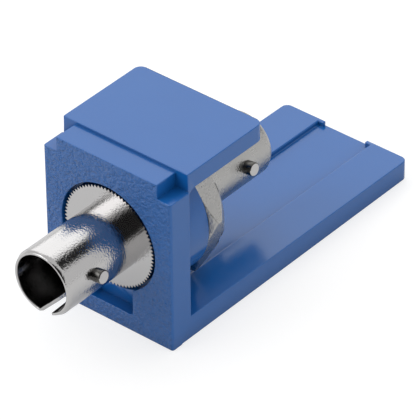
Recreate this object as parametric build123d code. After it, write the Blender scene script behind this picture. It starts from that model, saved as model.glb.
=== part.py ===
from build123d import *
from math import cos, pi, radians, sin, sqrt, tan
import os

# Fibre adapter module with bayonet barrels at both ends, sizes in millimetres.
# X runs across the module, Y from the front mouth to the rear of the base, Z up.
# The origin is on the underside, at the middle of the overall length.

# Front plate of the moulded housing
plate_thickness = 2.64
notch_width = 1.6
strip_height = 1.55
foot_thickness = 1.3
plate_edge_radius = 0.25
edge_softening = 0.15

# Roof behind the plate
roof_thickness = 1.86
roof_rear = 13.3
roof_side_step = 0.18
roof_corner_radius = 0.8
roof_edge_radius = 0.35
roof_root_radius = 1.05

# Base with its shallow channel and the stops at the channel's rear end
base_length = 35.05
base_thickness = 2.48
base_rear_thickness = 2.13
base_side_step = 0.06
base_corner_radius = 0.7
channel_width = 6.3
channel_depth = 0.46
channel_corner_radius = 0.1
channel_stop_width = 0.6
channel_stop_length = 0.4

# Recess for the adapter's flange and the boss behind the plate
flange_gap = 0.25
recess_depth = 1.1
boss_radius = 6.55
boss_rear = 6.5
boss_edge_chamfer = 0.12
bore_clearance = 0.08

# Ramped pocket below the recess
pocket_width = 5.5
pocket_sill = 1.8
pocket_depth = 1.25
pocket_top_depth = 0.25
pocket_corner_radius = 0.4

# Bayonet barrels, the same at the front and at the rear
barrel_radius = 3.35
barrel_bore_radius = 2.9
front_mouth_reach = 9.1
rear_mouth_reach = 19.65
socket_depth = 5.2
mouth_taper_length = 0.45
mouth_taper_radial = 0.2
mouth_bore_chamfer = 0.08
adapter_turn = 8.0

# Key slot at the bottom of each barrel
key_slot_width = 1.1
key_slot_mouth_width = 1.6
key_slot_taper_length = 2.4
key_slot_length = 4.2

# Lug pins pressed into the barrel walls
lug_radius = 0.67
lug_reach = 4.25
lug_setback = 3.75
lug_edge_chamfer = 0.1
lug_clearance = 0.01

# Knurled flange and threaded stem of the front shell
flange_tip_radius = 5.32
flange_root_radius = 5.12
flange_teeth = 80
flange_thickness = 0.95
stem_radius = 4.7
stem_overhang = 0.5
stem_end_chamfer = 0.25

# Joint between the two shells
spigot_radius = 3.9
spigot_length = 5.4

# Split alignment sleeve and its cavity
ferrule_bore_radius = 1.25
sleeve_wall = 0.35
sleeve_length = 11.4
sleeve_slit = 0.5
sleeve_end_chamfer = 0.12
sleeve_clearance = 0.06
lead_hole_radius = 1.45
lead_chamfer = 0.5

# Hexagon nut, and the room that the housing leaves round it
nut_sides = 6
nut_across_flats = 12.7
nut_thickness = 2.4
nut_thread_clearance = 0.05
nut_front_land = 0.2
nut_front_chamfer_angle = 25.0
nut_rear_chamfer_angle = 56.0
nut_turn = 7.0
nut_bore_chamfer = 0.3
nut_base_gap = 0.23
nut_roof_gap = 0.18
nut_side_gap = 0.22

# Sizes and places that follow from the ones above
nut_corner = nut_across_flats / 2 / cos(pi / nut_sides)
corner_angles = [radians(nut_turn) + 2 * pi * side / nut_sides for side in range(nut_sides)]
nut_reach = nut_corner * max(sin(angle) for angle in corner_angles)
axis_height = base_thickness + nut_base_gap + nut_reach
plate_height = axis_height + nut_reach + nut_roof_gap
plate_width = 2 * (nut_corner + nut_side_gap)
strip_width = plate_width - 2 * notch_width
overall_length = front_mouth_reach + base_length
face_y = front_mouth_reach - overall_length / 2
recess_radius = flange_tip_radius + flange_gap
recess_floor = recess_depth
flange_face = recess_depth - flange_thickness
sleeve_radius = ferrule_bore_radius + sleeve_wall
cavity_radius = sleeve_radius + sleeve_clearance
sleeve_middle = (rear_mouth_reach - front_mouth_reach) / 2
sleeve_front = sleeve_middle - sleeve_length / 2
sleeve_rear = sleeve_middle + sleeve_length / 2
stem_rear = boss_rear + nut_thickness + stem_overhang
spigot_front = stem_rear - spigot_length


def across(points, half_width):
    """A solid with the given side outline, as (y, z) points, centred on X."""
    outline = Plane.YZ * Polygon(*points, align=None)
    return extrude(outline, amount=half_width, both=True)


def axis_plane(y):
    """A plane square to the adapter axis at the depth y, facing the front."""
    return Plane(origin=(0, y, axis_height), x_dir=(1, 0, 0), z_dir=(0, -1, 0))


def rod(radius, y_front, y_rear):
    """A round bar on the adapter axis between two depths."""
    return extrude(axis_plane(y_rear) * Circle(radius), amount=y_rear - y_front)


def turned(points):
    """A turned body from a half outline of (radius, y) points on the adapter axis."""
    half = Plane(origin=(0, 0, axis_height), x_dir=(1, 0, 0), z_dir=(0, 0, 1)) * Polygon(*points, align=None)
    return revolve(half, axis=Axis((0, 0, axis_height), (0, 1, 0)))


def turned_about_axis(solid, angle):
    """The solid turned about the adapter axis, seen from the front anticlockwise."""
    return solid.rotate(Axis((0, 0, axis_height), (0, -1, 0)), angle)


def front_plate():
    """The plate with its slanted foot and the narrower strip on its top edge."""
    plate = across(
        [
            (0, 0),
            (foot_thickness, 0),
            (plate_thickness, base_thickness),
            (plate_thickness, plate_height),
            (0, plate_height),
        ],
        plate_width / 2,
    )
    strip = Box(
        strip_width,
        plate_thickness,
        strip_height,
        align=(Align.CENTER, Align.MIN, Align.MIN),
    ).moved(Location((0, 0, plate_height)))
    front_edges = plate.edges().filter_by(Axis.Z).group_by(Axis.Y)[0]
    return fillet(front_edges, plate_edge_radius) + strip


def roof():
    """The flat roof with rounded rear corners and a filleted root on the plate."""
    width = plate_width - 2 * roof_side_step
    slab = Box(
        width,
        roof_rear - plate_thickness,
        roof_thickness,
        align=(Align.CENTER, Align.MIN, Align.MIN),
    ).moved(Location((0, plate_thickness, plate_height)))
    slab = fillet(slab.edges().filter_by(Axis.Z).group_by(Axis.Y)[-1], roof_corner_radius)
    rear_rim = slab.edges().filter_by(Axis.X).group_by(Axis.Y)[-1]
    slab = fillet(rear_rim, roof_edge_radius)
    root = across(
        [
            (plate_thickness, plate_height),
            (plate_thickness, plate_height - roof_root_radius),
            (plate_thickness + roof_root_radius, plate_height),
        ],
        width / 2,
    )
    hollow = Plane.YZ * Location(
        (plate_thickness + roof_root_radius, plate_height - roof_root_radius)
    ) * Circle(roof_root_radius)
    return slab + (root - extrude(hollow, amount=plate_width, both=True))


def base_top(y):
    """Height of the base's top, which falls evenly from the plate to the rear end."""
    fall = (base_thickness - base_rear_thickness) / (base_length - plate_thickness)
    return base_thickness - fall * (y - plate_thickness)


def channel():
    """The space of the shallow channel, narrowed by a small stop in each rear corner."""
    past = base_length + edge_softening
    space = across(
        [
            (plate_thickness, base_top(plate_thickness) - channel_depth),
            (past, base_top(past) - channel_depth),
            (past, base_thickness + channel_depth),
            (plate_thickness, base_thickness + channel_depth),
        ],
        channel_width / 2,
    )
    floor_edges = space.faces().sort_by(Axis.Z)[0].edges()
    space = fillet(floor_edges.sort_by(SortBy.LENGTH)[-2:], channel_corner_radius)
    for side in (-1, 1):
        stop = Box(2 * channel_stop_width, 2 * channel_stop_length, 4 * base_thickness)
        space -= stop.moved(Location((side * channel_width / 2, base_length, 0)))
    return space


def base():
    """The long base, thinner towards its rear, with its channel."""
    slab = across(
        [
            (0, 0),
            (base_length, 0),
            (base_length, base_rear_thickness),
            (plate_thickness, base_thickness),
            (0, base_thickness),
        ],
        plate_width / 2 - base_side_step,
    )
    slab = fillet(slab.edges().filter_by(Axis.Z).group_by(Axis.Y)[-1], base_corner_radius)
    return slab - channel()


def pocket():
    """The ramped pocket that runs down from the recess to a sill."""
    top = axis_height - sqrt(recess_radius**2 - (pocket_width / 2) ** 2)
    cut = across(
        [
            (-edge_softening, pocket_sill),
            (pocket_depth, pocket_sill),
            (pocket_top_depth, top),
            (pocket_top_depth, axis_height),
            (-edge_softening, axis_height),
        ],
        pocket_width / 2,
    )
    lower_edges = cut.edges().filter_by(Axis.Y).group_by(Axis.Z)[0]
    foot = cut.edges().filter_by(Axis.X).group_by(Axis.Y)[-1]
    return fillet(lower_edges + foot, pocket_corner_radius)


def housing():
    """The one-piece moulding: plate, roof, base and boss, bored for the adapter."""
    boss = rod(boss_radius, plate_thickness / 2, boss_rear)
    rear_rim = boss.edges().filter_by(GeomType.CIRCLE).sort_by(Axis.Y)[-1]
    boss = chamfer(rear_rim, boss_edge_chamfer)
    body = front_plate() + roof() + base() + boss
    body -= rod(recess_radius, -edge_softening, recess_floor)
    body -= rod(stem_radius + bore_clearance, 0, boss_rear + edge_softening)
    return body - pocket()


def barrel_profile(mouth, root, solid_radius):
    """Half outline of a barrel wall from its mouth to its root, with its socket."""
    inward = 1 if root > mouth else -1
    floor = mouth + inward * socket_depth
    return [
        (0, floor),
        (barrel_bore_radius, floor),
        (barrel_bore_radius, mouth + inward * mouth_bore_chamfer),
        (barrel_bore_radius + mouth_bore_chamfer, mouth),
        (barrel_radius - mouth_taper_radial, mouth),
        (barrel_radius, mouth + inward * mouth_taper_length),
        (barrel_radius, root),
        (solid_radius, root),
    ]


def key_slot(mouth, inward):
    """The keyway through the bottom of a barrel wall, wider at its mouth."""
    def at(depth):
        return mouth + inward * depth

    narrow = key_slot_width / 2
    wide = key_slot_mouth_width / 2
    outline = Polygon(
        (-wide, at(-edge_softening)),
        (wide, at(-edge_softening)),
        (narrow, at(key_slot_taper_length)),
        (narrow, at(key_slot_length)),
        (-narrow, at(key_slot_length)),
        (-narrow, at(key_slot_taper_length)),
        align=None,
    )
    below = axis_height - barrel_radius - edge_softening
    lowest = Plane(origin=(0, 0, below), x_dir=(1, 0, 0), z_dir=(0, 0, 1))
    slot = extrude(lowest * outline, amount=barrel_radius)
    return turned_about_axis(slot, adapter_turn)


def lug_bar(mouth, inward, radius):
    """A cross bar through both lug places of one barrel."""
    place = mouth + inward * lug_setback
    start = Plane(origin=(-lug_reach, place, axis_height), x_dir=(0, 1, 0), z_dir=(1, 0, 0))
    bar = extrude(start * Circle(radius), amount=2 * lug_reach)
    return turned_about_axis(bar, adapter_turn)


def knurled_flange():
    """The flange with pointed teeth round its rim."""
    step = pi / flange_teeth
    rim = []
    for index in range(2 * flange_teeth):
        radius = flange_tip_radius if index % 2 == 0 else flange_root_radius
        rim.append((radius * cos(index * step), radius * sin(index * step)))
    disc = extrude(axis_plane(recess_floor) * Polygon(*rim, align=None), amount=flange_thickness)
    shoulder = flange_tip_radius - edge_softening
    dress = turned(
        [
            (0, flange_face),
            (shoulder, flange_face),
            (flange_tip_radius, flange_face + edge_softening),
            (flange_tip_radius, recess_floor),
            (0, recess_floor),
        ]
    )
    return turned_about_axis(disc & dress, adapter_turn)


def sleeve_cavity():
    """The space for the sleeve, with a guide hole and a lead-in at each end."""
    front_floor = socket_depth - front_mouth_reach
    rear_floor = rear_mouth_reach - socket_depth
    front_stop = sleeve_front - sleeve_clearance
    rear_stop = sleeve_rear + sleeve_clearance
    return turned(
        [
            (0, front_floor),
            (lead_hole_radius + lead_chamfer, front_floor),
            (lead_hole_radius, front_floor + lead_chamfer),
            (lead_hole_radius, front_stop),
            (cavity_radius, front_stop),
            (cavity_radius, rear_stop),
            (lead_hole_radius, rear_stop),
            (lead_hole_radius, rear_floor - lead_chamfer),
            (lead_hole_radius + lead_chamfer, rear_floor),
            (0, rear_floor),
        ]
    )


def front_shell():
    """Front barrel, knurled flange and threaded stem, turned as one."""
    outline = barrel_profile(-front_mouth_reach, flange_face, stem_radius)
    outline += [
        (stem_radius, stem_rear - stem_end_chamfer),
        (stem_radius - stem_end_chamfer, stem_rear),
        (spigot_radius, stem_rear),
        (spigot_radius, spigot_front),
        (0, spigot_front),
    ]
    shell = turned(outline) + knurled_flange()
    shell -= key_slot(-front_mouth_reach, 1)
    shell -= lug_bar(-front_mouth_reach, 1, lug_radius + lug_clearance)
    return shell - sleeve_cavity()


def rear_shell():
    """Rear barrel with the spigot that is pressed into the stem."""
    outline = barrel_profile(rear_mouth_reach, stem_rear, spigot_radius)
    outline += [(spigot_radius, spigot_front), (0, spigot_front)]
    shell = turned(outline)
    shell -= key_slot(rear_mouth_reach, -1)
    shell -= lug_bar(rear_mouth_reach, -1, lug_radius + lug_clearance)
    return shell - sleeve_cavity()


def lug_pins():
    """Four bayonet lugs, each a short pin through a barrel wall."""
    hollow = rod(barrel_bore_radius, -front_mouth_reach, rear_mouth_reach)
    pins = []
    for mouth, inward in ((-front_mouth_reach, 1), (rear_mouth_reach, -1)):
        bar = lug_bar(mouth, inward, lug_radius)
        rims = bar.edges().filter_by(GeomType.CIRCLE)
        bar = chamfer(rims, lug_edge_chamfer)
        pins += (bar - hollow).solids()
    return Compound(pins)


def alignment_sleeve():
    """The split sleeve that lines the two ferrules up."""
    tube = turned(
        [
            (ferrule_bore_radius + sleeve_end_chamfer, sleeve_front),
            (sleeve_radius, sleeve_front),
            (sleeve_radius, sleeve_rear),
            (ferrule_bore_radius + sleeve_end_chamfer, sleeve_rear),
            (ferrule_bore_radius, sleeve_rear - sleeve_end_chamfer),
            (ferrule_bore_radius, sleeve_front + sleeve_end_chamfer),
        ]
    )
    slit = Box(
        sleeve_slit,
        2 * sleeve_length,
        2 * sleeve_radius,
        align=(Align.CENTER, Align.CENTER, Align.MIN),
    ).moved(Location((0, sleeve_middle, axis_height)))
    return turned_about_axis(tube - slit, adapter_turn)


def hex_nut():
    """The nut, softly chamfered at the boss and steeply at its rear."""
    rear_circle = nut_across_flats / 2
    front_circle = rear_circle + nut_front_land
    front = boss_rear
    rear = boss_rear + nut_thickness
    front_drop = (nut_corner - front_circle) * tan(radians(nut_front_chamfer_angle))
    rear_drop = (nut_corner - rear_circle) * tan(radians(nut_rear_chamfer_angle))
    hexagon = axis_plane(rear) * RegularPolygon(nut_corner, nut_sides)
    blank = extrude(hexagon, amount=nut_thickness)
    hole = stem_radius + nut_thread_clearance
    form = turned(
        [
            (hole + nut_bore_chamfer, front),
            (front_circle, front),
            (nut_corner, front + front_drop),
            (nut_corner, rear - rear_drop),
            (rear_circle, rear),
            (hole + nut_bore_chamfer, rear),
            (hole, rear - nut_bore_chamfer),
            (hole, front + nut_bore_chamfer),
        ]
    )
    return turned_about_axis(blank & form, nut_turn)


pieces = {
    "housing": housing,
    "front_shell": front_shell,
    "rear_shell": rear_shell,
    "lug_pins": lug_pins,
    "alignment_sleeve": alignment_sleeve,
    "hex_nut": hex_nut,
}

os.makedirs("parts", exist_ok=True)
for name, build in pieces.items():
    solid = build().moved(Location((0, face_y, 0)))
    export_step(solid, f"parts/{name}.step")
    print(name, len(solid.solids()), round(sum(s.volume for s in solid.solids()), 2), "mm3")
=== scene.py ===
# %% Load the measured model
import math

import bmesh
import bpy
from mathutils import Matrix, Vector


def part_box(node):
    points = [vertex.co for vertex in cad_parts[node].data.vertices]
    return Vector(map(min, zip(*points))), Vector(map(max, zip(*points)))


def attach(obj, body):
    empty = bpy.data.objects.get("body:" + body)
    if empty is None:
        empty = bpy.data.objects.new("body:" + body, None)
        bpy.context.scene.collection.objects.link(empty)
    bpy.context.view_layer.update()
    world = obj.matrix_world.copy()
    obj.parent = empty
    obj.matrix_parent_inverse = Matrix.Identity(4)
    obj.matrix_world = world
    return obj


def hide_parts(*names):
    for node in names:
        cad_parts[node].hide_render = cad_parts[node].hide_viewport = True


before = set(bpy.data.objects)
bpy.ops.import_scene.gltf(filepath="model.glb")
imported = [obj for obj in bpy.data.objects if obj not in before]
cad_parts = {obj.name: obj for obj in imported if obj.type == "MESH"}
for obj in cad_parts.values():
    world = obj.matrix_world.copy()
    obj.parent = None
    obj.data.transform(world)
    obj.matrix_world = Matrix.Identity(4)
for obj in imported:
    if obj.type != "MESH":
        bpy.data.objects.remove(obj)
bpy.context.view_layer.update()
MM = 0.001

# %% [markdown]
# The object is a small blue snap-in module, about 44 mm long, that holds a metal fibre adapter.
# The measured model gives every size. This script makes the pieces that show again as smooth meshes
# with softened edges, because a fine highlight along each edge is what makes a small part look real.
# Everything is in metres, so sizes are written in millimetres and multiplied by MM.

# %% Read the places that the pieces share
housing_low, housing_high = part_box("housing")
nut_low, nut_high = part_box("hex_nut")
front_low, front_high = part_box("front_shell")
rear_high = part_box("rear_shell")[1]

FACE_Y = housing_low.y
AXIS_Z = (front_low.z + front_high.z) / 2
AXIS = Vector((0, 0, AXIS_Z))
ADAPTER_TURN = math.radians(8)
NUT_TURN = math.radians(7)
print("face at", round(FACE_Y / MM, 3), "mm, axis at", round(AXIS_Z / MM, 3), "mm")

# %% [markdown]
# The camera comes first, because every later choice is judged through it. The photograph was taken
# from far away with a long lens, so its lines hardly converge. The direction is given as an azimuth,
# measured from the front of the module, an elevation and a small roll.

# %% Place the camera at the photograph's angle
AZIMUTH, ELEVATION, ROLL = 0.6998, 0.6314, -0.0105
DISTANCE = 382.56 * MM
FOCAL_PIXELS, IMAGE_PIXELS, SENSOR_MM = 4165.1, 420, 36
aim = Vector((0, FACE_Y + 8.329 * MM, 9.37 * MM))
sideways, upwards = 3.927 * MM, -1.282 * MM

back = Vector((
    math.sin(AZIMUTH) * math.cos(ELEVATION),
    -math.cos(AZIMUTH) * math.cos(ELEVATION),
    math.sin(ELEVATION),
))
level_right = Vector((math.cos(AZIMUTH), math.sin(AZIMUTH), 0))
level_up = back.cross(level_right)
right = math.cos(ROLL) * level_right + math.sin(ROLL) * level_up
up = math.cos(ROLL) * level_up - math.sin(ROLL) * level_right

bpy.ops.object.camera_add(location=aim + back * DISTANCE + right * sideways + up * upwards)
camera = bpy.context.object
camera.rotation_euler = Matrix((right, up, back)).transposed().to_euler()
camera.data.sensor_width = SENSOR_MM
camera.data.lens = FOCAL_PIXELS * SENSOR_MM / IMAGE_PIXELS
camera.data.clip_start, camera.data.clip_end = 0.01, 10
bpy.context.scene.camera = camera
print("lens", round(camera.data.lens, 1), "mm")

# %% [markdown]
# Next come a few helpers. Operators act on whatever is selected, so each new piece starts with nothing
# selected, and faces or edges are then picked by their place or by the way they point.

# %% Helpers that select
TOLERANCE = 0.01


def deselect():
    bpy.ops.object.select_all(action="DESELECT")


def choose(piece):
    """Make one piece the only selected and active one."""
    deselect()
    piece.select_set(True)
    bpy.context.view_layer.objects.active = piece


def edit(piece):
    """Go into edit mode on one piece, with nothing selected, and return its editable mesh."""
    choose(piece)
    bpy.ops.object.mode_set(mode="EDIT")
    bpy.ops.mesh.select_all(action="DESELECT")
    return bmesh.from_edit_mesh(piece.data)


def leave_edit():
    bpy.ops.object.mode_set(mode="OBJECT")


def pick_edges(mesh, test):
    """Select only the edges for which test(first end, second end) is true."""
    bpy.ops.mesh.select_mode(type="EDGE")
    bpy.ops.mesh.select_all(action="DESELECT")
    for edge in mesh.edges:
        edge.select_set(bool(test(edge.verts[0].co, edge.verts[1].co)))
    bmesh.update_edit_mesh(bpy.context.edit_object.data)


def pick_points(mesh, test):
    """Select only the points for which test(place) is true."""
    bpy.ops.mesh.select_mode(type="VERT")
    bpy.ops.mesh.select_all(action="DESELECT")
    for vert in mesh.verts:
        vert.select_set(bool(test(vert.co)))
    bmesh.update_edit_mesh(bpy.context.edit_object.data)


def near(value, place):
    """True if a coordinate in metres lies at a place in mm."""
    return abs(value - place * MM) < TOLERANCE * MM


def depth(point):
    """How far a point lies behind the front face, in metres."""
    return point.y - FACE_Y


# %% [markdown]
# A finished piece has its modifiers applied and its place in its mesh. A Bevel modifier rounds its edges.
# It could pick them by their angle, but here it reads a weight from each edge, so that some edges can be
# rounder than others. Weighted normals then keep the flat faces flat, and only the roundings shade
# smoothly.

# %% Helpers that finish
DOUBLED_DISTANCE, MERGE_DISTANCE = 0.001, 0.02
FLAT_ANGLE, FOLD_ANGLE, SMOOTH_ANGLE = 0.5, 1, 50
FLAT_FACE_WEIGHT = 90


def apply_modifiers(piece):
    choose(piece)
    for modifier in list(piece.modifiers):
        bpy.ops.object.modifier_apply(modifier=modifier.name)


def apply_place(piece):
    """Move the piece's place, turn and size into its mesh."""
    choose(piece)
    bpy.ops.object.transform_apply(location=True, rotation=True, scale=True)


def combine(piece, tool, operation):
    """Join, cut or intersect the piece with a tool mesh, which is then removed."""
    modifier = piece.modifiers.new(operation.lower(), "BOOLEAN")
    modifier.operation = operation
    modifier.object = tool
    modifier.solver = "EXACT"
    apply_modifiers(piece)
    bpy.data.objects.remove(tool)


def faces_outwards(piece):
    """Merge doubled points and turn all faces outwards."""
    edit(piece)
    bpy.ops.mesh.select_all(action="SELECT")
    bpy.ops.mesh.remove_doubles(threshold=DOUBLED_DISTANCE * MM)
    bpy.ops.mesh.normals_make_consistent(inside=False)
    leave_edit()


def soften_edges(piece, width, angle=30, segments=3, inner=True, share=lambda a, b: 1.0):
    """Round every edge sharper than the angle, and shade flat faces flat and the rounding smooth.

    share(first end, second end) gives the part of the width that an edge gets. With inner=False all
    inner corners stay sharp, so that they show as thin dark lines.
    """
    edit(piece)
    bpy.ops.mesh.select_all(action="SELECT")
    bpy.ops.mesh.remove_doubles(threshold=MERGE_DISTANCE * MM)
    bpy.ops.mesh.dissolve_limited(angle_limit=math.radians(FLAT_ANGLE))
    mesh = bmesh.from_edit_mesh(piece.data)
    weight = mesh.edges.layers.float.new("bevel_weight_edge")
    for edge in mesh.edges:
        if edge.calc_face_angle(0) > math.radians(angle) and (inner or edge.is_convex):
            edge[weight] = share(edge.verts[0].co, edge.verts[1].co)
    leave_edit()
    rounding = piece.modifiers.new("softened_edges", "BEVEL")
    rounding.width = width * MM
    rounding.segments = segments
    rounding.limit_method = "WEIGHT"
    rounding.use_clamp_overlap = False
    rounding.face_strength_mode = "FSTR_ALL"
    apply_modifiers(piece)
    edit(piece)
    bpy.ops.mesh.select_all(action="SELECT")
    bpy.ops.mesh.vert_connect_nonplanar(angle_limit=math.radians(FOLD_ANGLE))
    bpy.ops.mesh.vert_connect_concave()
    leave_edit()
    choose(piece)
    bpy.ops.object.shade_smooth_by_angle(angle=math.radians(SMOOTH_ANGLE))
    weighting = piece.modifiers.new("flat_faces_first", "WEIGHTED_NORMAL")
    weighting.weight = FLAT_FACE_WEIGHT
    weighting.keep_sharp = True
    weighting.use_face_influence = True
    apply_modifiers(piece)


def report(piece):
    sizes = [round(v / MM, 2) for v in piece.dimensions]
    print(piece.name, "is", sizes, "mm with", len(piece.data.polygons), "faces")


# %% [markdown]
# Three starts are enough for all the pieces: a block between two corners, a round bar on the adapter
# axis, and an outline that is either spun about that axis or extruded across the module.

# %% Blocks, bars and outlines


def block(name, low, high):
    """A box mesh between two corners, given in mm with the depth counted from the face."""
    low = Vector(low) * MM + Vector((0, FACE_Y, 0))
    high = Vector(high) * MM + Vector((0, FACE_Y, 0))
    deselect()
    bpy.ops.mesh.primitive_cube_add(size=1, location=(low + high) / 2)
    piece = bpy.context.object
    piece.name = name
    piece.scale = high - low
    apply_place(piece)
    return piece


def bar(name, radius, y_front, y_rear, sides=160):
    """A round bar on the adapter axis, between two depths in mm from the face."""
    deselect()
    bpy.ops.mesh.primitive_cylinder_add(
        vertices=sides,
        radius=radius * MM,
        depth=(y_rear - y_front) * MM,
        location=AXIS + Vector((0, FACE_Y + (y_front + y_rear) / 2 * MM, 0)),
        rotation=(math.pi / 2, 0, 0),
    )
    piece = bpy.context.object
    piece.name = name
    apply_place(piece)
    return piece


def outline(name, points):
    """A closed line of points, in metres, left in edit mode with everything selected."""
    deselect()
    bpy.ops.mesh.primitive_plane_add(size=MM)
    piece = bpy.context.object
    piece.name = name
    mesh = edit(piece)
    bpy.ops.mesh.select_all(action="SELECT")
    bpy.ops.mesh.delete(type="VERT")
    corners = [mesh.verts.new(point) for point in points]
    for start, end in zip(corners, corners[1:] + corners[:1]):
        mesh.edges.new((start, end))
    bmesh.update_edit_mesh(piece.data)
    bpy.ops.mesh.select_all(action="SELECT")
    return piece


def turned(name, points, steps=160):
    """Spin a half outline of (radius, depth) points, in mm, about the adapter axis."""
    piece = outline(name, [(r * MM, FACE_Y + y * MM, AXIS_Z) for r, y in points])
    bpy.ops.mesh.spin(steps=steps, angle=2 * math.pi, center=AXIS, axis=(0, 1, 0))
    leave_edit()
    faces_outwards(piece)
    return piece


def extruded(name, points, half_width):
    """Extrude a side outline of (depth, height) points, in mm, across the module."""
    start_x = -half_width * MM
    piece = outline(name, [(start_x, FACE_Y + y * MM, z * MM) for y, z in points])
    bpy.ops.mesh.edge_face_add()
    bpy.ops.mesh.extrude_region_move(
        TRANSFORM_OT_translate={"value": (2 * half_width * MM, 0, 0)}
    )
    leave_edit()
    faces_outwards(piece)
    return piece


def turn_about_axis(piece, angle):
    """Turn a mesh about the adapter axis, anticlockwise when seen from the front."""
    turn = Matrix.Translation(AXIS) @ Matrix.Rotation(-angle, 4, "Y") @ Matrix.Translation(-AXIS)
    piece.data.transform(turn)


def arc(centre, radius, start, end, steps):
    """Points on an arc in the side view, with the angles in degrees."""
    angles = [math.radians(start + (end - start) * i / steps) for i in range(steps + 1)]
    return [(centre[0] + radius * math.cos(a), centre[1] + radius * math.sin(a)) for a in angles]


# %% [markdown]
# The housing is one moulding shaped like a C seen from the side: a front plate, a short roof and a long
# base. Each of the three is a side outline that is extruded across the width, which keeps every wall
# straight. The roof is a little narrower than the plate. Its outline runs on into the plate, with the
# hollow root below it, so that the union of the two leaves no seam.

# %% Extrude the plate and the roof
PLATE_HALF = housing_high.x / MM
ROOF_TOP = housing_high.z / MM
ROOF_THICKNESS = 1.86
PLATE_TOP = ROOF_TOP - ROOF_THICKNESS
PLATE_THICKNESS = 2.64
ROOF_REAR = 13.3
ROOF_ROOT = 1.05
ROOF_SIDE_STEP = 0.18
ROOF_HALF = PLATE_HALF - ROOF_SIDE_STEP
BASE_TOP, BASE_REAR_TOP = 2.48, 2.13
FOOT = 1.3
PAST = 1.0

housing = extruded("housing_moulding", [
    (0, 0),
    (FOOT, 0),
    (PLATE_THICKNESS, BASE_TOP),
    (PLATE_THICKNESS, PLATE_TOP),
    (0, PLATE_TOP),
], PLATE_HALF)
roof = extruded("roof", [
    (PLATE_THICKNESS - PAST, PLATE_TOP - ROOF_ROOT),
    *arc((PLATE_THICKNESS + ROOF_ROOT, PLATE_TOP - ROOF_ROOT), ROOF_ROOT, 180, 90, 8),
    (ROOF_REAR, PLATE_TOP),
    (ROOF_REAR, ROOF_TOP),
    (PLATE_THICKNESS, ROOF_TOP),
    (PLATE_THICKNESS, PLATE_TOP),
], ROOF_HALF)
report(roof)

# %% [markdown]
# The corners of the roof are rounder than the rest, as a moulding's edges often are where a finger meets
# them, and so are the two upright edges of the plate. They are bevelled by themselves, picked by their
# direction and their place.

# %% Round the roof's rear corners and the plate's upright edges
ROOF_CORNER = 0.8
ROOF_EDGE = 0.35
PLATE_EDGE = 0.25


def along_x(a, b):
    return near(a.y - b.y, 0) and near(a.z - b.z, 0)


def along_y(a, b):
    return near(a.x - b.x, 0) and near(a.z - b.z, 0)


def along_z(a, b):
    return near(a.x - b.x, 0) and near(a.y - b.y, 0)


def round_edges(piece, radius, segments, test):
    """Bevel the edges of a piece for which test(first end, second end) is true."""
    mesh = edit(piece)
    pick_edges(mesh, test)
    bpy.ops.mesh.bevel(offset=radius * MM, segments=segments, affect="EDGES")
    leave_edit()


round_edges(roof, ROOF_CORNER, 8, lambda a, b: along_z(a, b) and near(depth(a), ROOF_REAR))
round_edges(roof, ROOF_EDGE, 4, lambda a, b: along_x(a, b) and near(depth(a), ROOF_REAR))
round_edges(housing, PLATE_EDGE, 5, lambda a, b: along_z(a, b) and near(depth(a), 0))
combine(housing, roof, "UNION")
report(housing)

# %% [markdown]
# The strip, the base and the boss are joined on by boolean unions, and the channel, the recess, the
# bore and the pocket are cut out by boolean differences. Each tool reaches a little past the surface
# that it cuts, so that no two faces lie on each other.

# %% Join the strip to the plate
STRIP_HEIGHT, STRIP_INSET, STRIP_ROOT = 1.55, 1.6, 0.2
STRIP_TOP = PLATE_TOP + STRIP_HEIGHT
STRIP_HALF = PLATE_HALF - STRIP_INSET

strip = extruded("strip", [
    (0, PLATE_TOP - STRIP_ROOT),
    (PLATE_THICKNESS + STRIP_ROOT, PLATE_TOP - STRIP_ROOT),
    (PLATE_THICKNESS + STRIP_ROOT, STRIP_TOP),
    (0, STRIP_TOP),
], STRIP_HALF)
combine(housing, strip, "UNION")
report(housing)

# %% [markdown]
# The base is a long tongue that gets a little thinner towards its rear. Its channel follows that slope,
# and a small stop in each rear corner of the channel is left standing, by cutting the stops out of the
# channel's own tool first.

# %% Join the base with its channel
BASE_SIDE_STEP = 0.06
BASE_HALF = PLATE_HALF - BASE_SIDE_STEP
BASE_LENGTH = (housing_high.y - housing_low.y) / MM
BASE_CORNER = 0.7
CHANNEL_HALF = 3.15
CHANNEL_DEPTH = 0.46
CHANNEL_CORNER = 0.1
STOP_WIDTH, STOP_LENGTH = 0.6, 0.4


def base_top(y):
    """Height of the base's top in mm, at a depth in mm from the face."""
    fall = (BASE_TOP - BASE_REAR_TOP) / (BASE_LENGTH - PLATE_THICKNESS)
    return BASE_TOP - fall * (y - PLATE_THICKNESS)


def at_channel_floor(a, b):
    """True for the two long lower edges of the channel's tool."""
    is_long = near(a.x - b.x, 0) and abs(a.y - b.y) > PAST * MM
    return is_long and max(a.z, b.z) < BASE_TOP * MM


base = extruded("base", [
    (PAST, 0),
    (BASE_LENGTH, 0),
    (BASE_LENGTH, BASE_REAR_TOP),
    (PLATE_THICKNESS, BASE_TOP),
    (PAST, BASE_TOP),
], BASE_HALF)
round_edges(base, BASE_CORNER, 8, lambda a, b: along_z(a, b) and near(depth(a), BASE_LENGTH))

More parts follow.
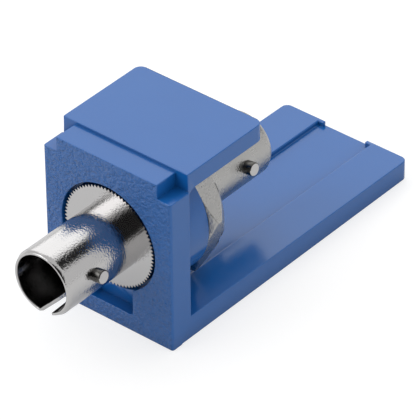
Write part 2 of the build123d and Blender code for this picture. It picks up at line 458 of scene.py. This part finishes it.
channel_end = BASE_LENGTH + PAST
channel = extruded("channel", [
    (0, base_top(0) - CHANNEL_DEPTH),
    (channel_end, base_top(channel_end) - CHANNEL_DEPTH),
    (channel_end, BASE_TOP + PAST),
    (0, BASE_TOP + PAST),
], CHANNEL_HALF)
round_edges(channel, CHANNEL_CORNER, 3, at_channel_floor)
for side in (-1, 1):
    low_x, high_x = sorted((side * (CHANNEL_HALF - STOP_WIDTH), side * (CHANNEL_HALF + PAST)))
    stop = block(
        "stop",
        (low_x, BASE_LENGTH - STOP_LENGTH, 0),
        (high_x, channel_end + PAST, BASE_TOP + 2 * PAST),
    )
    combine(channel, stop, "DIFFERENCE")
combine(base, channel, "DIFFERENCE")
combine(housing, base, "UNION")
report(housing)

# %% [markdown]
# Behind the plate stands a round boss, which the nut pulls against. In front, a shallow round recess
# takes the knurled flange, and a ramped pocket runs down from it to a sill. One sketch could hold all
# of these, but a boolean for each keeps its sizes easy to read and to change.

# %% Join the boss, and cut the recess, the bore and the pocket
BOSS_RADIUS, BOSS_REAR = 6.55, 6.5
RECESS_RADIUS, RECESS_DEPTH = 5.57, 1.1
BORE_RADIUS = 4.78
POCKET_HALF, POCKET_SILL = 2.75, 1.8
POCKET_DEPTH, POCKET_TOP_DEPTH = 1.25, 0.25
POCKET_CORNER = 0.4

combine(housing, bar("boss", BOSS_RADIUS, PLATE_THICKNESS - PAST, BOSS_REAR), "UNION")
combine(housing, bar("recess", RECESS_RADIUS, -PAST, RECESS_DEPTH), "DIFFERENCE")
combine(housing, bar("bore", BORE_RADIUS, -PAST, BOSS_REAR + PAST), "DIFFERENCE")

pocket_top = AXIS_Z / MM - math.sqrt(RECESS_RADIUS**2 - POCKET_HALF**2)
pocket = extruded("pocket", [
    (-PAST, POCKET_SILL),
    (POCKET_DEPTH, POCKET_SILL),
    (POCKET_TOP_DEPTH, pocket_top),
    (POCKET_TOP_DEPTH, AXIS_Z / MM),
    (-PAST, AXIS_Z / MM),
], POCKET_HALF)
round_edges(pocket, POCKET_CORNER, 5, lambda a, b: along_y(a, b) and near(a.z, POCKET_SILL))
combine(housing, pocket, "DIFFERENCE")
report(housing)

# %% [markdown]
# The whole housing is softened at once, but its inner corners stay sharp and show as thin dark lines.
# Two kinds of edge get another width than the rest. The long rims of the channel are rounder, which draws
# a fine light line along each. The step between the plate's side and the base's side is too low for a
# full rounding.

# %% Soften the housing's edges
HOUSING_ROUNDING = 0.085
RIM_SHARE, STEP_SHARE = 2.0, 0.3


def on_channel_rim(a, b):
    at_wall = near(abs(a.x), CHANNEL_HALF) and near(abs(b.x), CHANNEL_HALF)
    is_long = abs(a.y - b.y) > BASE_LENGTH / 2 * MM
    return at_wall and is_long and min(a.z, b.z) > (BASE_REAR_TOP - TOLERANCE) * MM


def on_side_step(a, b):
    at_side = min(abs(a.x), abs(b.x)) > (BASE_HALF - TOLERANCE) * MM
    below_top = max(a.z, b.z) < (BASE_TOP + TOLERANCE) * MM
    behind_foot = min(depth(a), depth(b)) > (FOOT - TOLERANCE) * MM
    within_plate = max(depth(a), depth(b)) < (PLATE_THICKNESS + TOLERANCE) * MM
    return at_side and below_top and behind_foot and within_plate


def edge_share(a, b):
    if on_channel_rim(a, b):
        return RIM_SHARE
    return STEP_SHARE if on_side_step(a, b) else 1.0


soften_edges(housing, HOUSING_ROUNDING, inner=False, share=edge_share)
report(housing)

# %% [markdown]
# The barrels are turned parts, so each is spun from half of its section. Key slots are sawn through the
# bottom of the wall, and they open a little towards the mouth, which leads the plug's key in.

# %% Draw the barrel's section
BARREL_RADIUS, BARREL_BORE = 3.35, 2.9
SOCKET_DEPTH = 5.2
RIM_LENGTH, RIM_RADIAL, BORE_EDGE = 0.45, 0.2, 0.08
FRONT_MOUTH = (front_low.y - FACE_Y) / MM
REAR_MOUTH = (rear_high.y - FACE_Y) / MM
LEAD_RADIUS, LEAD_CHAMFER = 1.45, 0.5
STEM_RADIUS, STEM_REAR = 4.7, (front_high.y - FACE_Y) / MM
SLOT_HALF, SLOT_MOUTH_HALF, SLOT_TAPER, SLOT_LENGTH = 0.55, 0.8, 2.4, 4.2
SAW_BELOW_AXIS = 1.5
TURNED_ROUNDING = 0.05


def barrel_section(mouth, inward, hole_end):
    """Half section from the end of the guide hole, round the socket and the rim, to the wall."""
    floor = mouth + inward * SOCKET_DEPTH
    return [
        (LEAD_RADIUS, hole_end),
        (LEAD_RADIUS, floor + inward * LEAD_CHAMFER),
        (LEAD_RADIUS + LEAD_CHAMFER, floor),
        (BARREL_BORE, floor),
        (BARREL_BORE, mouth + inward * BORE_EDGE),
        (BARREL_BORE + BORE_EDGE, mouth),
        (BARREL_RADIUS - RIM_RADIAL, mouth),
        (BARREL_RADIUS, mouth + inward * RIM_LENGTH),
    ]


def saw_key_slot(piece, mouth, inward):
    """Cut the keyway through the bottom of a barrel wall."""
    far = mouth + inward * SLOT_LENGTH
    near_end, far_end = sorted((mouth - inward * PAST, far))
    low_z = AXIS_Z / MM - BARREL_RADIUS - PAST
    high_z = AXIS_Z / MM - SAW_BELOW_AXIS
    saw = block("saw", (-SLOT_HALF, near_end, low_z), (SLOT_HALF, far_end, high_z))
    edit(saw)
    bpy.ops.mesh.select_all(action="SELECT")
    taper_y = FACE_Y + (mouth + inward * SLOT_TAPER) * MM
    bpy.ops.mesh.bisect(plane_co=(0, taper_y, 0), plane_no=(0, 1, 0))
    mesh = bmesh.from_edit_mesh(saw.data)
    pick_points(mesh, lambda p: near(depth(p), mouth - inward * PAST))
    bpy.ops.transform.resize(value=(SLOT_MOUTH_HALF / SLOT_HALF, 1, 1), center_override=(0, 0, 0))
    leave_edit()
    turn_about_axis(saw, ADAPTER_TURN)
    combine(piece, saw, "DIFFERENCE")


# %% [markdown]
# The front shell is one turned part: barrel, flange and threaded stem. Its section runs from the guide
# hole round the socket's wall, out to the stem and along it, and back through the hole that the rear
# shell's spigot is pressed into. One spin makes all of that but the flange, which comes after it.

# %% Turn the front shell
SLEEVE_MIDDLE = (FRONT_MOUTH + REAR_MOUTH) / 2
FLANGE_TIP, FLANGE_ROOT, FLANGE_TEETH = 5.32, 5.02, 80
FLANGE_THICKNESS, FLANGE_OVERLAP = 0.95, 0.2
FLANGE_FACE = RECESS_DEPTH - FLANGE_THICKNESS
THREAD_PITCH = 25.4 / 32
THREAD_DEPTH = 0.35
THREAD_START = 6.6
SPIGOT_RADIUS, SPIGOT_HOLE = 3.85, 3.9
thread_root = STEM_RADIUS - THREAD_DEPTH

section = barrel_section(FRONT_MOUTH, 1, SLEEVE_MIDDLE)
stem_front = RECESS_DEPTH - FLANGE_OVERLAP
section += [(BARREL_RADIUS, stem_front), (STEM_RADIUS, stem_front)]
section += [(STEM_RADIUS, THREAD_START), (thread_root, THREAD_START), (thread_root, STEM_REAR)]
section += [(SPIGOT_HOLE, STEM_REAR), (SPIGOT_HOLE, SLEEVE_MIDDLE)]
front_shell = turned("front_barrel", section)
saw_key_slot(front_shell, FRONT_MOUTH, 1)
report(front_shell)

# %% [markdown]
# The knurl is a ring of pointed teeth. A cylinder gets two sides for each tooth, and every second pair
# of points is drawn inwards. The teeth end sharply at the face of the flange, which stays dead flat,
# because the least tilt near its rim would show as streaks in what it mirrors.

# %% Knurl the flange


def ring_index(point, count):
    """Number of the point on a ring of evenly spaced points about the adapter axis."""
    angle = math.atan2(point.z - AXIS_Z, point.x)
    return round(angle / (2 * math.pi) * count) % count


flange = bar("knurled_flange", FLANGE_TIP, FLANGE_FACE, RECESS_DEPTH, sides=2 * FLANGE_TEETH)
mesh = edit(flange)
pick_points(mesh, lambda p: ring_index(p, 2 * FLANGE_TEETH) % 2 == 1)
shrink = FLANGE_ROOT / FLANGE_TIP
bpy.ops.transform.resize(value=(shrink, 1, shrink), center_override=AXIS)
leave_edit()
hole_radius = BARREL_RADIUS - FLANGE_OVERLAP
combine(flange, bar("flange_hole", hole_radius, -PAST, RECESS_DEPTH + PAST), "DIFFERENCE")
turn_about_axis(flange, ADAPTER_TURN)
combine(front_shell, flange, "UNION")


def sharp_at_face(a, b):
    return 0.0 if near(depth(a), FLANGE_FACE) and near(depth(b), FLANGE_FACE) else 1.0


soften_edges(front_shell, TURNED_ROUNDING, angle=32, segments=2, inner=False, share=sharp_at_face)
report(front_shell)

# %% [markdown]
# A thread is a small ridge wound round the stem. The Screw modifier winds one section of the ridge, and
# only the turns near the end of the stem are made, because the nut and the housing hide the rest.

# %% Wind the thread on the stem
THREAD_TURNS, THREAD_RUNOUT = 3, 0.15
RIDGE_FILL, RIDGE_SUNK = 0.95, 0.05
CREST_HALF, CREST_DROP = 0.05, 0.02
ridge_middle = STEM_REAR - THREAD_RUNOUT - THREAD_TURNS * THREAD_PITCH
ridge_half = THREAD_PITCH / 2 * RIDGE_FILL
ridge_root, ridge_crest = thread_root - RIDGE_SUNK, STEM_RADIUS - CREST_DROP

thread = outline("stem_thread", [
    (ridge_root * MM, (ridge_middle - ridge_half) * MM, 0),
    (ridge_crest * MM, (ridge_middle - CREST_HALF) * MM, 0),
    (ridge_crest * MM, (ridge_middle + CREST_HALF) * MM, 0),
    (ridge_root * MM, (ridge_middle + ridge_half) * MM, 0),
])
leave_edit()
winding = thread.modifiers.new("winding", "SCREW")
winding.axis = "Y"
winding.angle = 2 * math.pi * THREAD_TURNS
winding.screw_offset = THREAD_PITCH * THREAD_TURNS * MM
winding.steps = winding.render_steps = 96 * THREAD_TURNS
apply_modifiers(thread)
thread.data.transform(Matrix.Translation((0, FACE_Y, AXIS_Z)))
faces_outwards(thread)
choose(thread)
bpy.ops.object.shade_smooth_by_angle(angle=math.radians(30))
report(thread)

# %% [markdown]
# The rear shell is the same barrel the other way round, with a spigot where the front one has its
# flange. It could be a mirrored copy of the front shell with the flange cut off, but a second spin from
# the shared section is cleaner, and both sockets are sure to take the same plug.

# %% Turn the rear shell
section = barrel_section(REAR_MOUTH, -1, SLEEVE_MIDDLE)
section += [(BARREL_RADIUS, STEM_REAR), (SPIGOT_RADIUS, STEM_REAR), (SPIGOT_RADIUS, SLEEVE_MIDDLE)]
rear_shell = turned("rear_barrel", section)
saw_key_slot(rear_shell, REAR_MOUTH, -1)
soften_edges(rear_shell, TURNED_ROUNDING, angle=32, segments=2)
report(rear_shell)

# %% [markdown]
# Each lug is a short pin pressed into the wall, with a small chamfer that lets the coupling ring of a
# plug slide onto it. All four come out of one loop, over the two barrels and their two sides.

# %% Make the four lugs
LUG_RADIUS, LUG_REACH, LUG_SETBACK, LUG_CHAMFER = 0.67, 4.25, 3.75, 0.1
LUG_INSIDE_GAP = 0.02
inner_end = BARREL_BORE + LUG_INSIDE_GAP

lugs = []
for mouth, inward in ((FRONT_MOUTH, 1), (REAR_MOUTH, -1)):
    for side in (-1, 1):
        lug_middle = Vector((
            side * (inner_end + LUG_REACH) / 2 * MM,
            FACE_Y + (mouth + inward * LUG_SETBACK) * MM,
            AXIS_Z,
        ))
        deselect()
        bpy.ops.mesh.primitive_cylinder_add(
            vertices=48,
            radius=LUG_RADIUS * MM,
            depth=(LUG_REACH - inner_end) * MM,
            location=lug_middle,
            rotation=(0, math.pi / 2, 0),
        )
        lug = bpy.context.object
        lug.name = f"lug_{'front' if inward > 0 else 'rear'}_{'left' if side < 0 else 'right'}"
        apply_place(lug)
        soften_edges(lug, LUG_CHAMFER, angle=40, segments=2)
        turn_about_axis(lug, ADAPTER_TURN)
        lugs.append(lug)
report(lugs[0])

# %% [markdown]
# A hexagon nut is a slice of six-sided bar whose corners a lathe has cut back at both ends. So a
# six-sided cylinder is intersected with a spun body that has those cones on it, and the curved lines
# where cone and flat meet come out by themselves.

# %% Make the nut
NUT_FLATS = 12.7
NUT_FRONT, NUT_REAR = (nut_low.y - FACE_Y) / MM, (nut_high.y - FACE_Y) / MM
NUT_HOLE, NUT_HOLE_CHAMFER = 4.75, 0.3
NUT_FRONT_ANGLE, NUT_REAR_ANGLE = 25, 56
NUT_FRONT_MARGIN, NUT_ROUNDING, FORM_MARGIN = 0.02, 0.1, 0.1
corner = NUT_FLATS / 2 / math.cos(math.pi / 6)
front_circle, rear_circle = NUT_FLATS / 2 + NUT_FRONT_MARGIN, NUT_FLATS / 2
form_radius = corner + FORM_MARGIN
front_drop = (form_radius - front_circle) * math.tan(math.radians(NUT_FRONT_ANGLE))
rear_drop = (form_radius - rear_circle) * math.tan(math.radians(NUT_REAR_ANGLE))

nut = bar("hexagon_nut", corner, NUT_FRONT - PAST, NUT_REAR + PAST, sides=6)
turn_about_axis(nut, math.radians(30))
form = turned("nut_form", [
    (NUT_HOLE + NUT_HOLE_CHAMFER, NUT_FRONT),
    (front_circle, NUT_FRONT),
    (form_radius, NUT_FRONT + front_drop),
    (form_radius, NUT_REAR - rear_drop),
    (rear_circle, NUT_REAR),
    (NUT_HOLE + NUT_HOLE_CHAMFER, NUT_REAR),
    (NUT_HOLE, NUT_REAR - NUT_HOLE_CHAMFER),
    (NUT_HOLE, NUT_FRONT + NUT_HOLE_CHAMFER),
], steps=192)
combine(nut, form, "INTERSECT")
turn_about_axis(nut, NUT_TURN)
soften_edges(nut, NUT_ROUNDING, angle=18, segments=2)
report(nut)

# %% [markdown]
# The alignment sleeve is a thin split tube of white ceramic. It shows only at the bottom of the
# sockets, but a plug's ferrule has to find it there, so it is made at its true size.

# %% Make the split sleeve
sleeve_low, sleeve_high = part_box("alignment_sleeve")
SLEEVE_RADIUS, SLEEVE_BORE, SLEEVE_EDGE, SLIT_HALF = 1.6, 1.25, 0.12, 0.25
sleeve_front, sleeve_rear = (sleeve_low.y - FACE_Y) / MM, (sleeve_high.y - FACE_Y) / MM
sleeve = turned("ceramic_sleeve", [
    (SLEEVE_BORE + SLEEVE_EDGE, sleeve_front),
    (SLEEVE_RADIUS, sleeve_front),
    (SLEEVE_RADIUS, sleeve_rear),
    (SLEEVE_BORE + SLEEVE_EDGE, sleeve_rear),
    (SLEEVE_BORE, sleeve_rear - SLEEVE_EDGE),
    (SLEEVE_BORE, sleeve_front + SLEEVE_EDGE),
], steps=64)
slit = block(
    "slit",
    (-SLIT_HALF, sleeve_front - PAST, AXIS_Z / MM),
    (SLIT_HALF, sleeve_rear + PAST, AXIS_Z / MM + 2 * SLEEVE_RADIUS),
)
combine(sleeve, slit, "DIFFERENCE")
turn_about_axis(sleeve, ADAPTER_TURN)
choose(sleeve)
bpy.ops.object.shade_smooth_by_angle(angle=math.radians(30))
report(sleeve)

# %% [markdown]
# The materials are procedural, so that they need no picture files. They read Object coordinates, which
# are real metres here, so a noise scale of 5000 means grains of about 0.2 mm.

# %% Helpers for materials


def new_material(name):
    """A material with its shader, and a function that adds nodes to it."""
    material = bpy.data.materials.new(name)
    material.use_nodes = True
    nodes = material.node_tree.nodes
    links = material.node_tree.links
    shader = nodes["Principled BSDF"]

    def add(kind, settings=None, **inputs):
        node = nodes.new(kind)
        for key, value in (settings or {}).items():
            setattr(node, key, value)
        for key, value in inputs.items():
            socket = node.inputs[key.replace("_", " ")]
            if isinstance(value, bpy.types.NodeSocket):
                links.new(value, socket)
            else:
                socket.default_value = value
        return node

    return material, shader, links, add


def wear(piece, material, slot, *nodes):
    """Give a piece its material and its body, and hide the model nodes that it stands for. The slot is
    not used.
    """
    piece.data.materials.clear()
    piece.data.materials.append(material)
    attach(piece, "root")
    if nodes:
        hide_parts(*nodes)


# %% [markdown]
# The blue plastic has a soft gloss. The front of the plate has a leathery grain, as a mould leaves that
# is eroded or etched there, while the other faces are nearly smooth. One noise makes both: where a face
# lies and the way it points set how deep the bump is. A broad noise lets the colour drift a little, as
# pigment does. An ambient occlusion node paints shade into the colour of inner corners and hollows, so
# they come out darker than the lamps alone make them.

# %% The blue moulded plastic
BLUE = (0.009, 0.116, 0.4, 1)
BLUE_DEEP = (0.007, 0.106, 0.375, 1)
CREVICE_SHADE_REACH, CREVICE_SHADE_SHARE = 1.8, 0.4
GRAIN_ON_FRONT, GRAIN_ELSEWHERE = 0.45, 0.005
GRAIN_FADES_FROM, GRAIN_FADES_TO = 0.05, 0.2
GRAIN_FACING_NONE, GRAIN_FACING_FULL = 0.7, 0.95

plastic, shader, links, add = new_material("blue_moulded_plastic")
where = add("ShaderNodeTexCoord")
place = where.outputs["Object"]
grain = add("ShaderNodeTexNoise", Vector=place, Scale=3200.0, Detail=3.0, Roughness=0.5)
drift = add("ShaderNodeTexNoise", Vector=place, Scale=260.0, Detail=2.0)
colour = add("ShaderNodeMix", {"data_type": "RGBA"})
links.new(drift.outputs["Fac"], colour.inputs["Factor"])
colour.inputs["A"].default_value = BLUE
colour.inputs["B"].default_value = BLUE_DEEP
# painted shade: ambient occlusion darkens the plastic's colour in inner corners and hollows
painted_crevice_shade = add("ShaderNodeAmbientOcclusion", {"samples": 8},
              Color=colour.outputs["Result"], Distance=CREVICE_SHADE_REACH * MM)
shaded = add("ShaderNodeMix", {"data_type": "RGBA"})
shaded.inputs["Factor"].default_value = CREVICE_SHADE_SHARE
links.new(colour.outputs["Result"], shaded.inputs["A"])
links.new(painted_crevice_shade.outputs["Color"], shaded.inputs["B"])
facing = add("ShaderNodeVectorMath", {"operation": "DOT_PRODUCT"})
links.new(where.outputs["Normal"], facing.inputs[0])
facing.inputs[1].default_value = (0, -1, 0)
parts = add("ShaderNodeSeparateXYZ", Vector=place)
at_front = add("ShaderNodeMapRange", Value=parts.outputs["Y"],
               From_Min=FACE_Y + GRAIN_FADES_TO * MM, From_Max=FACE_Y + GRAIN_FADES_FROM * MM)
grained = add("ShaderNodeMath", {"operation": "MULTIPLY"})
links.new(facing.outputs["Value"], grained.inputs[0])
links.new(at_front.outputs["Result"], grained.inputs[1])
grain_height = add("ShaderNodeMapRange", Value=grained.outputs["Value"],
                   From_Min=GRAIN_FACING_NONE, From_Max=GRAIN_FACING_FULL,
                   To_Min=GRAIN_ELSEWHERE * MM, To_Max=GRAIN_ON_FRONT * MM)
rough = add("ShaderNodeMapRange", Value=grain.outputs["Fac"], To_Min=0.13, To_Max=0.25)
bump = add("ShaderNodeBump", Height=grain.outputs["Fac"],
           Distance=grain_height.outputs["Result"], Strength=1.0)
links.new(shaded.outputs["Result"], shader.inputs["Base Color"])
links.new(rough.outputs["Result"], shader.inputs["Roughness"])
links.new(bump.outputs["Normal"], shader.inputs["Normal"])
shader.inputs["IOR"].default_value = 1.58
print("made", plastic.name)

# %% [markdown]
# Turned metal shows fine rings round its axis. A noise that reads the distance from the axis and the
# depth, but not the angle, is the same all the way round, so it makes such rings on the barrel and on
# the face of the flange alike. The bright plating has faint rings and the satin one has stronger ones.
# Inside the bores the colour is painted darker, a painted shade for the metal there mirroring mostly
# itself.

# %% The two nickel platings
BORE_SHADE_SHARE = 0.35
INSIDE_STARTS, INSIDE_FULL = 0.06, 0.01


def nickel(name, colour, roughness, spread, ring_scale, ring_height, speckle_height):
    """Plated metal with rings about the adapter axis and a fine speckle."""
    material, shader, links, add = new_material(name)
    where = add("ShaderNodeTexCoord").outputs["Object"]
    parts = add("ShaderNodeSeparateXYZ", Vector=where)
    from_axis = add("ShaderNodeMath", {"operation": "SUBTRACT"})
    links.new(parts.outputs["Z"], from_axis.inputs[0])
    from_axis.inputs[1].default_value = AXIS_Z
    flat = add("ShaderNodeCombineXYZ", X=parts.outputs["X"], Y=from_axis.outputs["Value"])
    radius = add("ShaderNodeVectorMath", {"operation": "LENGTH"})
    links.new(flat.outputs["Vector"], radius.inputs[0])
    ring_place = add("ShaderNodeCombineXYZ", X=radius.outputs["Value"], Y=parts.outputs["Y"])
    rings = add("ShaderNodeTexNoise", {"noise_dimensions": "2D"},
                Vector=ring_place.outputs["Vector"], Scale=ring_scale, Detail=3.0)
    speckle = add("ShaderNodeTexNoise", Vector=where, Scale=5200.0, Detail=2.0)
    cloud = add("ShaderNodeTexNoise", Vector=where, Scale=900.0, Detail=3.0)
    shine = add("ShaderNodeMapRange", Value=cloud.outputs["Fac"],
                To_Min=roughness - spread, To_Max=roughness + spread)
    ring_bump = add("ShaderNodeBump", Height=rings.outputs["Fac"],
                    Distance=ring_height * MM, Strength=1.0)
    bump = add("ShaderNodeBump", Height=speckle.outputs["Fac"], Distance=speckle_height * MM,
               Strength=1.0, Normal=ring_bump.outputs["Normal"])
    # painted shade: the base colour darkens inside the bores
    inside = add("ShaderNodeMapRange", Value=radius.outputs["Value"],
                 From_Min=(BARREL_BORE + INSIDE_STARTS) * MM, From_Max=(BARREL_BORE + INSIDE_FULL) * MM)
    tone = add("ShaderNodeMix", {"data_type": "RGBA"})
    links.new(inside.outputs["Result"], tone.inputs["Factor"])
    tone.inputs["A"].default_value = colour
    tone.inputs["B"].default_value = [part * BORE_SHADE_SHARE for part in colour[:3]] + [1]
    links.new(tone.outputs["Result"], shader.inputs["Base Color"])
    links.new(shine.outputs["Result"], shader.inputs["Roughness"])
    links.new(bump.outputs["Normal"], shader.inputs["Normal"])
    shader.inputs["Metallic"].default_value = 1.0
    print("made", name)
    return material


bright = nickel("bright_nickel", (0.56, 0.552, 0.55, 1), roughness=0.11, spread=0.04,
                ring_scale=4000.0, ring_height=0.0006, speckle_height=0.022)
satin = nickel("satin_nickel", (0.47, 0.465, 0.455, 1), roughness=0.28, spread=0.06,
               ring_scale=5000.0, ring_height=0.003, speckle_height=0.06)
# painted shade and painted dark reflection: a much darker nickel for the sides of the lugs
painted_shade_pin_side = nickel("pin_side_nickel", (0.11, 0.107, 0.102, 1), roughness=0.24, spread=0.06,
                  ring_scale=4000.0, ring_height=0.0006, speckle_height=0.01)

# %% [markdown]
# The sleeve is polished zirconia, and little of it shows. A warm white is enough, with a polish that
# varies a little.

# %% The white ceramic
ceramic, shader, links, add = new_material("white_ceramic")
where = add("ShaderNodeTexCoord").outputs["Object"]
mottle = add("ShaderNodeTexNoise", Vector=where, Scale=1500.0, Detail=2.0)
polish = add("ShaderNodeMapRange", Value=mottle.outputs["Fac"], To_Min=0.08, To_Max=0.16)
links.new(polish.outputs["Result"], shader.inputs["Roughness"])
shader.inputs["Base Color"].default_value = (0.82, 0.8, 0.75, 1)
print("made", ceramic.name)

# %% [markdown]
# Each finished piece now gets its material, and the node of the measured model that it stands for is
# hidden. A lug gets two materials, and its faces choose between them by the way they point: its ends
# keep the bright nickel, and its sides get a much darker one, a painted shade and painted dark
# reflection.

# %% Dress the pieces
PIN_END_FACING = 0.9

wear(housing, plastic, "blue_plastic", "housing")
wear(front_shell, bright, "bright_nickel", "front_shell")
wear(thread, bright, "bright_nickel")
wear(rear_shell, satin, "satin_nickel", "rear_shell")
wear(nut, satin, "satin_nickel", "hex_nut")
wear(sleeve, ceramic, "zirconia", "alignment_sleeve")
for lug in lugs:
    wear(lug, painted_shade_pin_side, "bright_nickel", "lug_pins")
    # faces pointing along the lug are its bright ends; the other faces get the painted dark side colour
    lug.data.materials.append(bright)
    for face in lug.data.polygons:
        face.material_index = 1 if abs(face.normal.x) > PIN_END_FACING else 0
print("dressed the housing, two shells, the thread, the nut, the sleeve and", len(lugs), "lugs")

# %% [markdown]
# The studio is plain: a pale floor, a wide soft light behind on the left, whose broad reflection puts a
# pale sheen on all the upward faces, and a smaller one in front on the left, which lights the plate.
# The surround is white where the camera looks. Polished metal mirrors its surround, and needs
# something darker there to look like metal, so its rays see a pale grey one with a few dark gaps. The
# floor is white for the camera, with only the shadow left on it, because part of its brightness is glow.

# %% Lay the floor
FLOOR_SIZE, FLOOR_DROP = 3, 0.01
FLOOR_PAINT, FLOOR_PAINT_SEEN = (0.6, 0.6, 0.6, 1), (0.4, 0.4, 0.4, 1)
FLOOR_GLOW_MIRRORED, FLOOR_GLOW_SEEN = 0.2, 0.66

deselect()
bpy.ops.mesh.primitive_plane_add(size=FLOOR_SIZE, location=(0, 0, -FLOOR_DROP * MM))
floor = bpy.context.object
floor.name = "studio_floor"
floor_paint, shader, links, add = new_material("pale_floor")
shader.inputs["Roughness"].default_value = 0.9
shader.inputs["Emission Color"].default_value = (1, 1, 1, 1)
rays = add("ShaderNodeLightPath")
seen = rays.outputs["Is Camera Ray"]
paint = add("ShaderNodeMix", {"data_type": "RGBA"})
links.new(seen, paint.inputs["Factor"])
paint.inputs["A"].default_value = FLOOR_PAINT
paint.inputs["B"].default_value = FLOOR_PAINT_SEEN
links.new(paint.outputs["Result"], shader.inputs["Base Color"])
mirrored_glow = add("ShaderNodeMapRange", Value=rays.outputs["Is Glossy Ray"],
                    To_Min=0.0, To_Max=FLOOR_GLOW_MIRRORED)
glow = add("ShaderNodeMapRange", Value=seen,
           To_Min=mirrored_glow.outputs["Result"], To_Max=FLOOR_GLOW_SEEN)
links.new(glow.outputs["Result"], shader.inputs["Emission Strength"])
floor.data.materials.append(floor_paint)
print("floor", FLOOR_SIZE, "m wide")

# %% [markdown]
# An area light's power spreads over its area, but what polished metal mirrors is the brightness of each
# part of it, the radiance. So the helper works out the power from the radiance and the area, and a light
# can be made wider without looking dimmer in the metal.

# %% Hang the two soft lights


def soft_light(name, direction, distance, size, radiance):
    """A square area light in a direction from the object, as bright as the radiance says."""
    place = aim + Vector(direction).normalized() * distance * MM
    deselect()
    bpy.ops.object.light_add(type="AREA", location=place)
    light = bpy.context.object
    light.name = name
    light.data.shape = "SQUARE"
    light.data.size = size * MM
    light.data.energy = radiance * math.pi * (size * MM) ** 2
    light.rotation_euler = (aim - place).to_track_quat("-Z", "Y").to_euler()
    print(name, "gives", round(light.data.energy, 2), "W")


soft_light("sheen_light", (-0.53, 0.617, 0.58), distance=400, size=430, radiance=0.8)
soft_light("front_light", (-0.54, -0.617, 0.575), distance=420, size=290, radiance=2.0)

# %% [markdown]
# The world is the rest of the room. One strength lights the object, another is what the camera sees, and
# polished surfaces mirror a third. Its dark gaps do the work of the black cards that a photographer puts
# up round shiny metal. A gap is a direction and two angles in degrees: it is fully dark inside the first
# and gone outside the second.

# %% Surround the stage
SURROUND_LIGHT = 0.82
SURROUND_SEEN = 1.0
SURROUND_MIRRORED = 0.75
GAP_MIRRORED = 0.02
GAPS = (
    (Vector((0.357, 0.617, 0.7)), 9, 20),
    (Vector((0.56, -0.617, 0.52)), 29, 40),
    (Vector((-0.78, -0.62, 0.03)), 3, 9),
)

world = bpy.context.scene.world or bpy.data.worlds.new("surround")
bpy.context.scene.world = world
world.use_nodes = True
nodes, links = world.node_tree.nodes, world.node_tree.links
nodes.clear()


def between(chooser, low, high):
    """A value that goes from low to high as the chooser goes from 0 to 1."""
    blend = nodes.new("ShaderNodeMapRange")
    links.new(chooser, blend.inputs["Value"])
    for value, socket in ((low, blend.inputs["To Min"]), (high, blend.inputs["To Max"])):
        if isinstance(value, bpy.types.NodeSocket):
            links.new(value, socket)
        else:
            socket.default_value = value
    return blend


ray = nodes.new("ShaderNodeLightPath")
direction = nodes.new("ShaderNodeTexCoord").outputs["Generated"]
mirrored = SURROUND_MIRRORED
for towards, inner_angle, outer_angle in GAPS:
    facing = nodes.new("ShaderNodeVectorMath")
    facing.operation = "DOT_PRODUCT"
    links.new(direction, facing.inputs[0])
    facing.inputs[1].default_value = towards.normalized()
    gap = between(facing.outputs["Value"], mirrored, GAP_MIRRORED)
    gap.interpolation_type = "SMOOTHSTEP"
    gap.inputs["From Min"].default_value = math.cos(math.radians(outer_angle))
    gap.inputs["From Max"].default_value = math.cos(math.radians(inner_angle))
    mirrored = gap.outputs["Result"]
lighting = between(ray.outputs["Is Glossy Ray"], SURROUND_LIGHT, mirrored)
seen = nodes.new("ShaderNodeMath")
seen.operation = "MAXIMUM"
links.new(ray.outputs["Is Camera Ray"], seen.inputs[0])
links.new(ray.outputs["Is Transmission Ray"], seen.inputs[1])
strength = between(seen.outputs["Value"], lighting.outputs["Result"], SURROUND_SEEN)
surround = nodes.new("ShaderNodeBackground")
surround.inputs["Color"].default_value = (1, 1, 1, 1)
links.new(strength.outputs["Result"], surround.inputs["Strength"])
world_output = nodes.new("ShaderNodeOutputWorld")
links.new(surround.outputs["Background"], world_output.inputs["Surface"])
print("surround with", len(GAPS), "dark gaps")

# %% [markdown]
# Standard view colours keep the render close to the colours as written.

# %% Finish
bpy.context.scene.view_settings.view_transform = "Standard"
